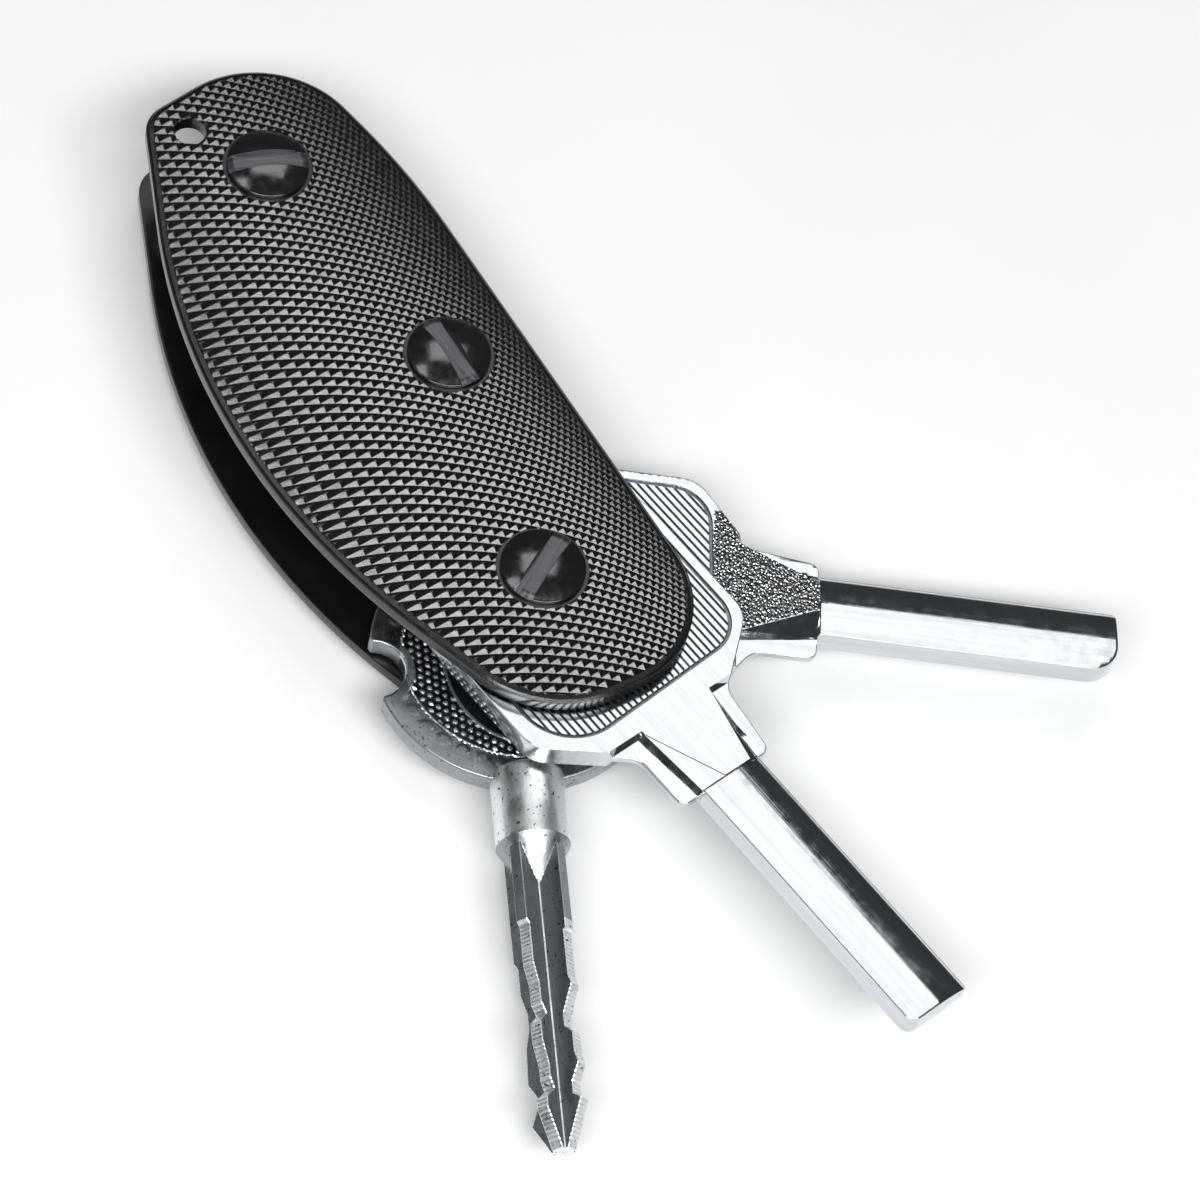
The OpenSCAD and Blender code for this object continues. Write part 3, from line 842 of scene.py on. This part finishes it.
def flat_key_body(s, rib_angle, tip_r, shift, tongue_top, tilt):
    """Flat key from the middle of its shaft, x along the shaft and mirrored through its
    middle plane. Bow and tongue lie at full height and the flanges lower. On one side of
    the tongue a facet falls in a straight line along x from full height to the shaft's
    section, on the other it falls across y by tilt, and both end in a step to the flange.
    Ribs are flat, with a V of half width g every p across them."""
    bow = distance_to(rounded(KEY_CORNERS))
    panel = distance_to(rounded(PANEL_CORNERS))
    corners = [(x, y, 0.05) for x, y in [*TONGUE_CORNERS, (TONGUE_CORNERS[0][0], tongue_top)]]
    tongue = distance_to(rounded(corners))
    shaft = distance_to(rounded([(24, -SHAFT_HALF, 0.1), (SHAFT_REACH, -SHAFT_HALF, tip_r),
                                 (SHAFT_REACH, SHAFT_HALF, 0.4), (24, SHAFT_HALF, 0.1)]))
    hole = circle(-shift[0], -shift[1], BARREL_R + 0.05)
    field = lambda x, y: np.maximum(np.minimum(bow(x, y), shaft(x, y)), -hole(x, y))
    p, g = s.rib_pitch, s.rib_groove
    along = math.radians(rib_angle)
    ribs_level = abs(rib_angle) < 1
    middles = np.arange(-22, 30) * p
    edges = np.concatenate([middles - g, middles, middles + g])
    # Level ribs are lines of the grid; turned ones are cut into a coarser grid below
    if ribs_level:
        ys = np.sort(np.concatenate([edges, middles + p / 2]))
    else:
        ys = lines((-14.7, 13.2, 0.75))
    ys = lines((-14.8, -14.7, 0.1), *ys[(ys > -14.7) & (ys < 13.2)], (13.2, 13.3, 0.1),
               *STEP_Y, *SHAFT_LINES)
    xs = lines((-8.2, 28, 0.42 if ribs_level else 0.75), (28.5, 54.5, 1.0), (55, 58.1, 0.25))
    points, tris = grid_sheet(*np.meshgrid(xs, ys))
    points, tris = trim(points, tris, lambda x, y: field(x, y) - 0.3)
    low_line = lambda x: np.interp(x, FACET_X, FACET_LOW)
    w = lambda x, y: -x * math.sin(along) + y * math.cos(along)
    cuts = [panel, lambda x, y: panel(x, y) + PANEL_STEP,
            lambda x, y: panel(x, y) + RIB_START, lambda x, y: panel(x, y) + RIB_END,
            lambda x, y: np.maximum(tongue(x, y), TONGUE_START - x),
            lambda x, y: np.maximum(tongue(x, y) - TONGUE_STEP, TONGUE_START - x),
            lambda x, y: x - FLANGE_START, lambda x, y: x - FLANGE_START - FLANGE_RUN]
    cuts += [lambda x, y, at=at: x - NECK_END - SCRIBE_X - at
             for at in (-SCRIBE_HALF, 0, SCRIBE_HALF)]
    cuts += [lambda x, y: np.maximum(y - low_line(x), FLANGE_START - x),
             lambda x, y: np.maximum(y - low_line(x) + FACET_WALL, FLANGE_START - x)]
    if not ribs_level:
        cuts += [lambda x, y, at=at: w(x, y) - at for at in edges]
    for cut in cuts:
        points, tris = crease(points, tris, cut)

    def half_height(x, y):
        full = KEY_T / 2
        across = w(x, y)
        off = np.abs(across - np.round(across / p) * p)
        rib = full - np.interp(off, [0, g], [GROOVE_DROP, RIB_DROP])
        inside = -panel(x, y)
        f = np.clip((inside - RIB_START) / (RIB_END - RIB_START), 0, 1)
        sunk = (full - PANEL_DROP) * (1 - f) + rib * f
        border = full - np.interp(inside, [0, PANEL_STEP], [0, PANEL_DROP])
        z = np.where(inside > PANEL_STEP - 0.001, sunk, border)
        section = shaft_height(y)
        flange, lowered = full - FLANGE_DROP, full - FACET_DROP
        run = np.clip((x - FACET_RUN) / (NECK_END - FACET_RUN), 0, 1)
        facet = lowered - (lowered - np.minimum(section, lowered)) * run
        side = np.interp(y, STEP_Y, [1, 0])
        right = flange + (np.maximum(flange, facet) - flange) * side
        edge = np.interp(x, FACET_X, FACET_TOP)
        below = low_line(x)
        left = lowered - tilt * np.clip(edge - y, 0, np.maximum(edge - below, 0))
        left = flange + (left - flange) * np.interp(y - below, [-FACET_WALL, 0], [0, 1])
        neck = np.where(y < 0, left, right)
        raised = 1 - np.clip(tongue(x, y) / TONGUE_STEP, 0, 1)
        neck = neck + (full - neck) * raised
        begin = np.clip((x - FLANGE_START) / FLANGE_RUN, 0, 1)
        neck = full * (1 - begin) + neck * begin
        beside = np.abs(x - NECK_END - SCRIBE_X)
        scribed = SCRIBE_DEPTH * np.clip(1 - beside / SCRIBE_HALF, 0, 1)
        z = np.where(x > FLANGE_START - 0.001, np.where(x > NECK_END, section, neck), z)
        return np.maximum(z - np.where(x > 20, scribed, 0), 0.12)

    return slab(points, tris, field, half_height, lambda x, y: -half_height(x, y), 0.1)


def turned_back(c, angle, shift):
    """x and y of points as a key's own outline has them, before its shift and its turn."""
    a = math.radians(angle)
    x, y = c[:, 0] - PIVOT[0], c[:, 1] - PIVOT[1]
    return (x * math.cos(a) + y * math.sin(a) - shift[0],
            y * math.cos(a) - x * math.sin(a) - shift[1])


def flat_key(s, node, body_name, angle, shift, rib_angle, tip_r, tongue_top, tilt, blasted):
    """One finished flat key, turned to its rest angle about the pivot. The grooves between
    its ribs are rough, with painted shade that darkens their colour, and its tongue and milled
    facet are blasted if it asks for that."""
    height = middle_of(node)[2]
    body = flat_key_body(s, rib_angle, tip_r, shift, tongue_top, tilt)
    body = placed(placed(body, (*shift, 0)), (*PIVOT, height), angle)
    bright = polished_nickel(angle, s.bright)
    panel = distance_to(rounded(PANEL_CORNERS))

    def finish(c):
        x, y = turned_back(c, angle, shift)
        z = np.abs(c[:, 2] - height)
        neck = (x > 16.4) & (x < NECK_END) & (y < 9.5) & (panel(x, y) > -0.03)
        neck &= z > KEY_T / 2 - FLANGE_DROP + 0.1
        neck &= y > np.interp(x, BLAST_X, BLAST_Y)
        # Faces in the rib grooves get a rougher nickel whose darker colour is painted shade in the
        # grooves
        groove = (panel(x, y) < -0.05) & (np.abs(z - KEY_T / 2 + 0.22) < 0.12)
        return np.where(groove, 2, neck & blasted).astype(np.int32)

    materials = [bright, blasted_nickel(), cast_nickel("Rough nickel with painted shade in the grooves", "#8A8C90")]
    make_piece(node + "_plated", body, materials, body_name, "plated_key", [node], 24, finish)


class OBJECT_OT_flat_keys(bpy.types.Operator):
    """Builds the two flat keys with ribbed bows and flanged necks"""
    bl_idname = "object.organiser_flat_keys"
    bl_label = "Flat keys"

    def execute(self, context):
        s = context.scene.organiser_keys
        flat_key(s, "front_key", "front_key_body", -82.2, (0, 1.7), 0.0, 1.2, 4.5, 0.05, False)
        flat_key(s, "middle_key", "middle_key_body", -34.7, (1.1, 3.4), -47.0, 3.0, 6.6, 0.24,
                 True)
        return {"FINISHED"}


# ---------------------------------------------------------------- cross key

CROSS_ANGLE = -116.4
CROSS_SHIFT = (0.0, -1.9)
BOW_X, BOW_R, BOW_T = 5.0, 14.5, 2.3
BOW_RIM, BOW_DROP = 1.3, 0.3
NOTCH = (6.6, -14.2, 3.1)
BAND_R, BOSS_RING_R, BOSS_COUNT = 11.4, 12.35, 36
OVAL_HALF_X, OVAL_HALF_Y = 9.5, 7.2
DOT_STEP, DOT_ROW = 0.86, 0.74
FIN_R, FIN_T = 3.2, 1.25
RIPPLE_DEPTH, RIPPLE_STEP = 0.06, 0.4
COLLAR_R, COLLAR_START, COLLAR_END, BLADE_REACH = 3.65, 18.0, 26.0, 58.0
# Cuts in each fin as [distance before the tip, depth]
CUTS = [
    [[23, 0], [22.6, 0.35], [18.5, 0.35], [16.5, 1.0], [14.6, 1.0], [13.6, 1.7], [12.4, 0.6],
     [10.6, 0.6], [8.2, 1.3], [6.9, 1.3], [5.8, 1.8], [4.6, 0.5], [3.6, 0.4], [0, 2.2]],
    [[20.4, 0], [19.6, 0.4], [16.8, 0.4], [14.6, 1.0], [13, 1.0], [11.2, 0.5], [7.5, 0.3],
     [6, 1.2], [5, 1.2], [3.2, 0.3], [0, 2.2]],
    [[21.2, 0], [20.6, 0.5], [17.5, 0.5], [15.2, 0.1], [13.8, 1.1], [11.6, 1.1], [10, 0.3],
     [8.4, 0.6], [6.6, 1.3], [5.4, 0.3], [0, 2.2]],
    [[22, 0], [21.8, 0.25], [17, 0.25], [16.1, 0], [13.4, 1.2], [12, 1.2], [11.2, 0.4],
     [9.2, 0.4], [8, 0.1], [6.3, 1.0], [5, 1.0], [4.4, 0.2], [0, 2.2]],
]


def round_bow_body():
    """Round bow from the blade's axis: a disc with a raised rim, a ring of small bosses, a
    field of dots in staggered rows inside a raised band, and a smooth oval with a raised
    edge. Bosses and dots are low cones cut flat: height falls in a straight line with the
    distance to the nearest centre."""
    disc = circle(BOW_X, 0, BOW_R)
    hole = circle(-CROSS_SHIFT[0], -CROSS_SHIFT[1], BARREL_R + 0.05)
    field = inside_all(disc, outside(circle(*NOTCH)), outside(hole))
    around_notch = outside(circle(NOTCH[0], NOTCH[1], NOTCH[2] + 0.9))
    rim = inside_all(circle(BOW_X, 0, BOW_R - BOW_RIM), around_notch)
    oval = lambda x, y: (np.hypot((x - BOW_X) / OVAL_HALF_X, y / OVAL_HALF_Y) - 1) * OVAL_HALF_Y
    band = circle(BOW_X, 0, BAND_R)
    reach = BOW_R + 0.2
    xs, ys = lines((BOW_X - reach, BOW_X + reach, 0.16)), lines((-reach, reach, 0.16))
    points, tris = grid_sheet(*np.meshgrid(xs, ys))
    for cut in (rim, lambda x, y: rim(x, y) + 0.1, oval, lambda x, y: oval(x, y) - 0.15,
                band, lambda x, y: band(x, y) + 0.12):
        points, tris = crease(points, tris, cut)

    def half_height(x, y):
        full = BOW_T / 2
        floor = full - BOW_DROP
        low = floor - 0.02
        turn = 2 * math.pi / BOSS_COUNT
        near = np.round(np.arctan2(y, x - BOW_X) / turn) * turn
        boss = np.hypot(x - BOW_X - BOSS_RING_R * np.cos(near), y - BOSS_RING_R * np.sin(near))
        z = floor + 0.1 * np.clip((0.8 - boss) / 0.3, 0, 1)
        from_band, from_oval = band(x, y), oval(x, y)
        z = np.where(from_band < 0, low, z)
        row = np.round(y / DOT_ROW)
        offset = (row % 2) * DOT_STEP / 2
        col = np.round((x - offset) / DOT_STEP) * DOT_STEP + offset
        dot = np.hypot(x - col, y - row * DOT_ROW)
        dotted = low + 0.12 * np.clip((0.3 - dot) / 0.16, 0, 1)
        z = np.where((from_band < -0.35) & (from_oval > 0.3), dotted, z)
        z = np.where((from_band < 0) & (from_band > -0.13), floor + 0.1, z)
        edged = np.interp(from_oval, [-0.1, 0], [low, floor + 0.12])
        z = np.where(from_oval < 0.16, edged, z)
        return np.where(rim(x, y) > -0.1, np.interp(rim(x, y), [-0.1, 0], [floor, full]), z)

    return slab(points, tris, field, half_height, lambda x, y: -half_height(x, y), 0.3)


def blade_body():
    """Collar and cross blade as sections along x. A section runs round four fins: out along a
    fin's flat side, over its broken tip and back, where the tip's height follows the fin's
    cuts with fine cutter ripples. Points nearer the axis than the fill radius are pushed out
    to it: the fill is the collar's radius up to its end, and falls in a straight line to the
    valleys between the fins."""
    knee = [COLLAR_START + step for step in (0, 0.08, 0.25, 0.5)] + [COLLAR_END]
    x = lines(*knee, (18.6, 25.9, 0.5), (26, 31, 0.2), (31.2, 34.8, 0.4), (34.9, 57.9, 0.1),
              BLADE_REACH)
    fill = np.interp(x, [*knee, 30.6, 31], [3.1, 3.4, 3.57, COLLAR_R, COLLAR_R, 0.88, 0.0])
    out = np.linspace(0, 1, 9)
    rings = []
    for k in range(4):
        cut = np.array(CUTS[k][::-1])
        depth = np.interp(BLADE_REACH - x, cut[:, 0], cut[:, 1])
        worked = np.clip(depth / 0.2, 0, 1) * (x < BLADE_REACH - 0.4)
        ripple = RIPPLE_DEPTH * (0.5 + 0.5 * np.sin(x * 2 * math.pi / RIPPLE_STEP))
        tip = np.maximum(FIN_R - depth - worked * ripple, 1.0)
        h, bevel = FIN_T / 2, 0.08
        # Flat sides start a little out, so a narrow flat is left along each valley
        start = h + 0.1
        r_up = start + (tip - bevel - start)[:, None] * out[None]
        s_up = np.full_like(r_up, h)
        r_top = np.stack([tip, tip, tip], 1)
        s_top = np.broadcast_to(np.array([h - bevel, 0, bevel - h]), r_top.shape)
        r = np.concatenate([r_up, r_top, r_up[:, ::-1]], 1)
        s = np.concatenate([s_up, s_top, -s_up[:, ::-1]], 1)
        a = math.radians(45 + 90 * k)
        # The fin points along (-sin a, cos a) in the y, z plane
        py = math.cos(a) * s - math.sin(a) * r
        pz = math.cos(a) * r + math.sin(a) * s
        rings.append(np.stack([py, pz], 2))
    ring = np.concatenate(rings, 1)
    reach = np.hypot(ring[:, :, 0], ring[:, :, 1])
    push = np.maximum(1, fill[:, None] / np.maximum(reach, 1e-6))
    limit = np.where(x < COLLAR_START + 0.5, fill, np.inf)[:, None]
    push = np.where(reach * push > limit, limit / reach, push)
    ring = ring * push[:, :, None]
    n, m = ring.shape[:2]
    verts = np.concatenate([np.broadcast_to(x[:, None, None], (n, m, 1)), ring], 2).reshape(-1, 3)
    i, j = np.arange(n - 1)[:, None] * m, np.arange(m)[None]
    k = (j + 1) % m
    quads = np.stack([i + j, i + k, i + m + k, i + m + j], 2).reshape(-1, 4)
    ends = np.array([[x[0], 0, 0], [x[-1], 0, 0]])
    base = n * m
    first = np.stack([np.full(m, base), (np.arange(m) + 1) % m, np.arange(m)], 1)
    last = (n - 1) * m
    final = np.stack([np.full(m, base + 1), last + np.arange(m), last + (np.arange(m) + 1) % m], 1)
    verts = np.concatenate([verts, ends])
    corner = verts[quads[:, 0]]
    area = np.cross(verts[quads[:, 1]] - corner, verts[quads[:, 3]] - corner)
    centre = verts[quads].mean(1)
    if (area[:, 1:] * centre[:, 1:]).sum() < 0:
        quads = quads[:, ::-1]
        first, final = first[:, ::-1], final[:, ::-1]
    return verts, np.concatenate([first, final]), quads


class OBJECT_OT_cross_key(bpy.types.Operator):
    """Builds the cross key: its round bow, and its collar with the cross blade"""
    bl_idname = "object.organiser_cross_key"
    bl_label = "Cross key"

    def execute(self, context):
        s = context.scene.organiser_keys
        dull = cast_nickel("Cast nickel", s.dull)
        # Near-white nickel: the real finish of the collar and cut fin tips, and also painted
        # highlights on the bow's dots and edges and along the valleys
        milled = cast_nickel("Milled nickel and painted highlights", "#EEEFF0")
        sunk = cast_nickel("Cast nickel in the recesses", "#4A4B4E")
        height = middle_of("cross_key")[2]

        def bow_finish(c):
            """Dull rim, dark recess inside it, and painted highlights: near-white tops of the dots
            and edges.
            """
            x, y = turned_back(c, CROSS_ANGLE, CROSS_SHIFT)
            inner = np.hypot(x - BOW_X, y) < BOW_R - 3.0
            deep = np.abs(c[:, 2] - height) < BOW_T / 2 - 0.28
            return np.where(inner, np.where(deep, 1, 2), 0).astype(np.int32)

        def blade_finish(c):
            """Dull fin sides; bright collar and cut fin tips, and a painted highlight along each
            valley.
            """
            x, y = turned_back(c, CROSS_ANGLE, CROSS_SHIFT)
            z = c[:, 2] - height
            out = np.maximum(np.abs(y + z), np.abs(y - z)) / math.sqrt(2)
            aside = np.minimum(np.abs(y + z), np.abs(y - z)) / math.sqrt(2)
            tip = (aside < FIN_T / 2 - 0.02) & (out > 0.9) & (x > BLADE_REACH - 23)
            # Painted highlight: the narrow flat along each valley gets the near-white nickel
            painted_root_highlight = (out < FIN_T / 2 + 0.12) & (x > COLLAR_END)
            return np.where(tip | painted_root_highlight | (x < COLLAR_END), 2, 0).astype(np.int32)

        for name, body, finish in (("cross_key_bow", round_bow_body(), bow_finish),
                                   ("cross_key_blade", blade_body(), blade_finish)):
            body = placed(placed(body, (*CROSS_SHIFT, 0)), (*PIVOT, height), CROSS_ANGLE)
            make_piece(name, body, [dull, sunk, milled], "cross_key_body", "cast_key",
                       ["cross_key"], 28, finish)
        return {"FINISHED"}


# ---------------------------------------------------------------- stage

CAMERA_PLACE = Vector((-159.9, -231.1, 358.25)) * MM
# Right, up and back
CAMERA_AXES = [Vector(a).normalized() for a in
               ((0.838, -0.523, 0.157), (0.374, 0.760, 0.532), (-0.397, -0.387, 0.832))]


def posed(place, right, up, back):
    """Matrix of an object at a place with its axes along three directions."""
    return Matrix.Translation(place) @ Matrix((right, up, back)).transposed().to_4x4()


def softbox(name, aim, toward, away, size, watts):
    """Area light at `away` metres from aim in the direction `toward`, given in the camera's
    right, up and back, facing the aim."""
    axes = CAMERA_AXES
    back = (axes[0] * toward[0] + axes[1] * toward[1] + axes[2] * toward[2]).normalized()
    lamp = bpy.data.lights.new(name, "AREA")
    lamp.shape = "RECTANGLE"
    lamp.size, lamp.size_y = size
    lamp.energy = watts
    holder = bpy.data.objects.new(name, lamp)
    bpy.context.scene.collection.objects.link(holder)
    right = (axes[0] - back * axes[0].dot(back)).normalized()
    holder.matrix_world = posed(aim + back * away, right, back.cross(right), back)


class OBJECT_OT_stage(bpy.types.Operator):
    """Builds the floor, the soft lights and the camera"""
    bl_idname = "object.organiser_stage"
    bl_label = "Stage"

    def execute(self, context):
        s = context.scene.organiser_stage
        camera = bpy.data.cameras.new("camera")
        camera.lens, camera.sensor_width = s.lens, 36
        camera.clip_start, camera.clip_end = 0.01, 20
        holder = bpy.data.objects.new("camera", camera)
        context.scene.collection.objects.link(holder)
        holder.matrix_world = posed(CAMERA_PLACE, *CAMERA_AXES)
        context.scene.camera = holder
        # The floor lies a fifth of a millimetre below the lowest head
        level = CAD_BOX[0][2] - 0.0002
        wide = 4.0
        mesh = bpy.data.meshes.new("floor")
        mesh.from_pydata([(-wide, -wide, level), (wide, -wide, level), (wide, wide, level),
                          (-wide, wide, level)], [], [(0, 1, 2, 3)])
        mesh.materials.append(studio_paper(s.paper))
        floor = bpy.data.objects.new("floor", mesh)
        context.scene.collection.objects.link(floor)
        aim = (Vector(CAD_BOX[0]) + Vector(CAD_BOX[1])) / 2
        softbox("key_light", aim, (0.16, -0.08, 1.0), 0.95, (1.1, 0.24), s.key_light)
        softbox("top_light", aim, (0.14, 0.84, 0.48), 0.7, (0.5, 0.36), 0.85)
        softbox("fill_light", aim, (-0.42, 0.46, 0.78), 0.9, (0.3, 0.3), 0.5)
        world = bpy.data.worlds.new("studio")
        world.use_nodes = True
        sky = world.node_tree.nodes["Background"].inputs
        sky["Color"].default_value = linear("#FFFFFF")
        sky["Strength"].default_value = 0.05
        context.scene.world = world
        context.scene.view_settings.view_transform = "Standard"
        return {"FINISHED"}


class VIEW3D_PT_organiser(bpy.types.Panel):
    """Lists the settings and the steps"""
    bl_label = "Key organiser"
    bl_idname = "VIEW3D_PT_organiser"
    bl_space_type = "VIEW_3D"
    bl_region_type = "UI"
    bl_category = "Key Organiser"

    def draw(self, context):
        for group in GROUPS:
            box = self.layout.box()
            settings = getattr(context.scene, group)
            for name in settings.bl_rna.properties.keys():
                if name not in {"rna_type", "name"}:
                    box.prop(settings, name)
        for operator in OPERATORS:
            self.layout.operator(operator.bl_idname)


GROUPS = {
    "organiser_plates": PlateSettings,
    "organiser_heads": HeadSettings,
    "organiser_keys": KeySettings,
    "organiser_stage": StageSettings,
}
OPERATORS = [OBJECT_OT_stage, OBJECT_OT_plates, OBJECT_OT_posts, OBJECT_OT_rings,
             OBJECT_OT_flat_keys, OBJECT_OT_cross_key]


def register():
    for cls in [*GROUPS.values(), *OPERATORS, VIEW3D_PT_organiser]:
        bpy.utils.register_class(cls)
    for name, cls in GROUPS.items():
        setattr(bpy.types.Scene, name, bpy.props.PointerProperty(type=cls))


def unregister():
    for name in GROUPS:
        delattr(bpy.types.Scene, name)
    for cls in [VIEW3D_PT_organiser, *OPERATORS[::-1], *list(GROUPS.values())[::-1]]:
        bpy.utils.unregister_class(cls)


def main():
    """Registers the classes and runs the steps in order."""
    register()
    bpy.ops.object.organiser_stage()
    bpy.ops.object.organiser_plates()
    bpy.ops.object.organiser_posts()
    bpy.ops.object.organiser_rings()
    bpy.ops.object.organiser_flat_keys()
    bpy.ops.object.organiser_cross_key()


if __name__ == "__main__":
    main()
